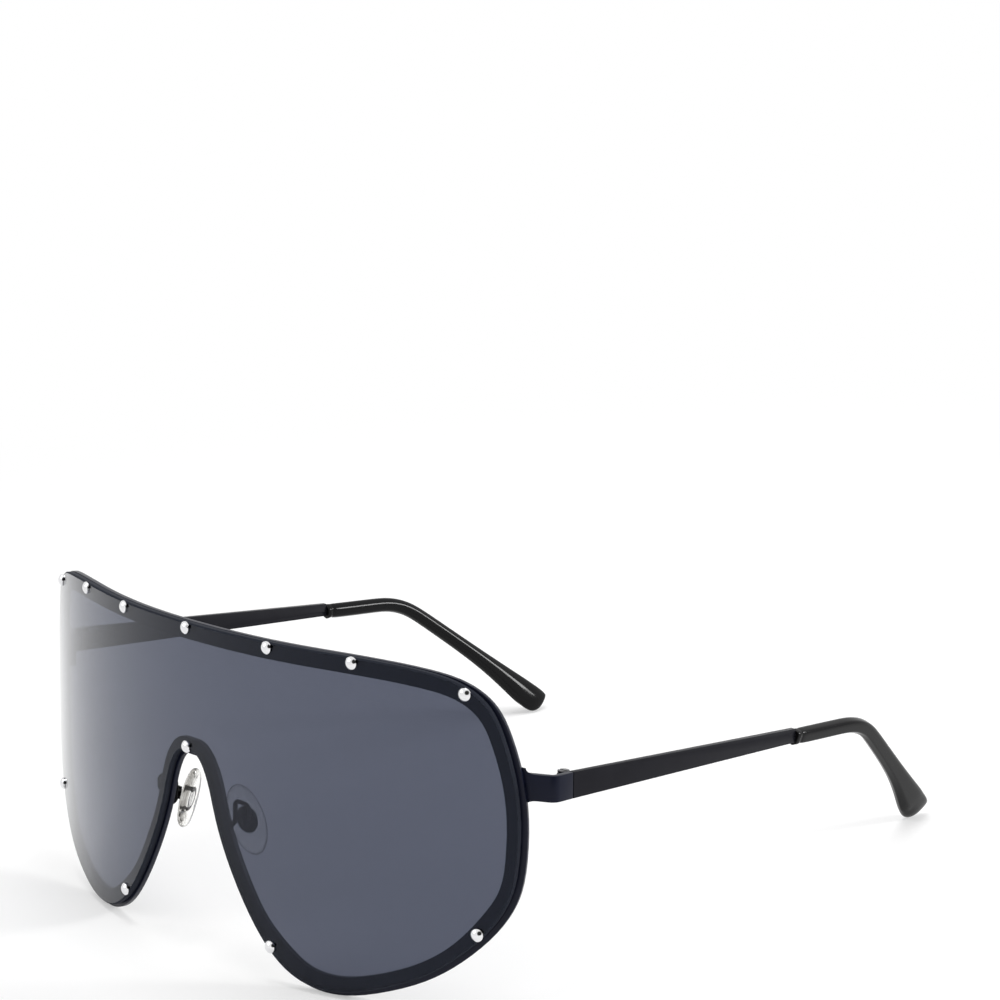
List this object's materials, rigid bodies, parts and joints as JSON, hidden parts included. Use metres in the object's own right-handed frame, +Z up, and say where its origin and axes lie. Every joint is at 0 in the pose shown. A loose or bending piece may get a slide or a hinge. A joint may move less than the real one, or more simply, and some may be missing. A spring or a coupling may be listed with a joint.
{
  "type": "sunglasses",
  "caption": "Oversized shield sunglasses: curved grey lens riveted to a thin black metal rim, folding metal temples with curved plastic tips, and rocking clear nose pads.",
  "frame": {"origin": "bottom centre of the bounding box, on the surface that the glasses stand on with the temples open", "axes": "+X to the right as seen from the front, +Y from the lens back to the temple tips, +Z up"},
  "size_m": [0.1576, 0.1504, 0.0677],
  "materials": {
    "lens_tint": "clear grey tint, polished",
    "rim_black": "satin black enamel",
    "temple_black": "satin charcoal enamel",
    "hinge_black": "black plated",
    "tip_black": "glossy black moulding",
    "chrome": "polished",
    "pad_clear": "clear silicone, faintly yellow",
    "pad_metal": "dark plated"
  },
  "bodies": {
    "front": {"shield_lens": "lens_tint", "rim_frame": "rim_black", "lens_studs": "chrome", "end_piece_right": "rim_black", "hinge_front_right": "hinge_black", "hinge_screw_right": "chrome", "pad_arm_right": "pad_metal", "pad_box_right": "pad_metal", "pad_screw_right": "chrome", "end_piece_left": "rim_black", "hinge_front_left": "hinge_black", "hinge_screw_left": "chrome", "pad_arm_left": "pad_metal", "pad_box_left": "pad_metal", "pad_screw_left": "chrome"},
    "temple_arm_right": {"temple_right": "temple_black", "hinge_rear_right": "hinge_black", "temple_tip_right": "tip_black"},
    "pad_right": {"nose_pad_right": "pad_clear", "pad_insert_right": "pad_metal"},
    "temple_arm_left": {"temple_left": "temple_black", "hinge_rear_left": "hinge_black", "temple_tip_left": "tip_black"},
    "pad_left": {"nose_pad_left": "pad_clear", "pad_insert_left": "pad_metal"}
  },
  "joints": [
    {"name": "temple_right_fold", "type": "hinge", "parent": "front", "child": "temple_arm_right", "pos_m": [0.07602, -0.04241, 0.0433], "axis": [0, 0.0988, 0.9951], "range_deg": [0, 80]},
    {"name": "temple_left_fold", "type": "hinge", "parent": "front", "child": "temple_arm_left", "pos_m": [-0.07602, -0.04241, 0.0433], "axis": [0, -0.0988, -0.9951], "range_deg": [0, 88]},
    {"name": "pad_right_rock", "type": "hinge", "parent": "front", "child": "pad_right", "pos_m": [0.01245, -0.06827, 0.02924], "axis": [0.4584, 0.8652, 0.2033], "range_deg": [-10, 10]},
    {"name": "pad_left_rock", "type": "hinge", "parent": "front", "child": "pad_left", "pos_m": [-0.01245, -0.06827, 0.02924], "axis": [0.4584, -0.8652, -0.2033], "range_deg": [-10, 10]}
  ]
}
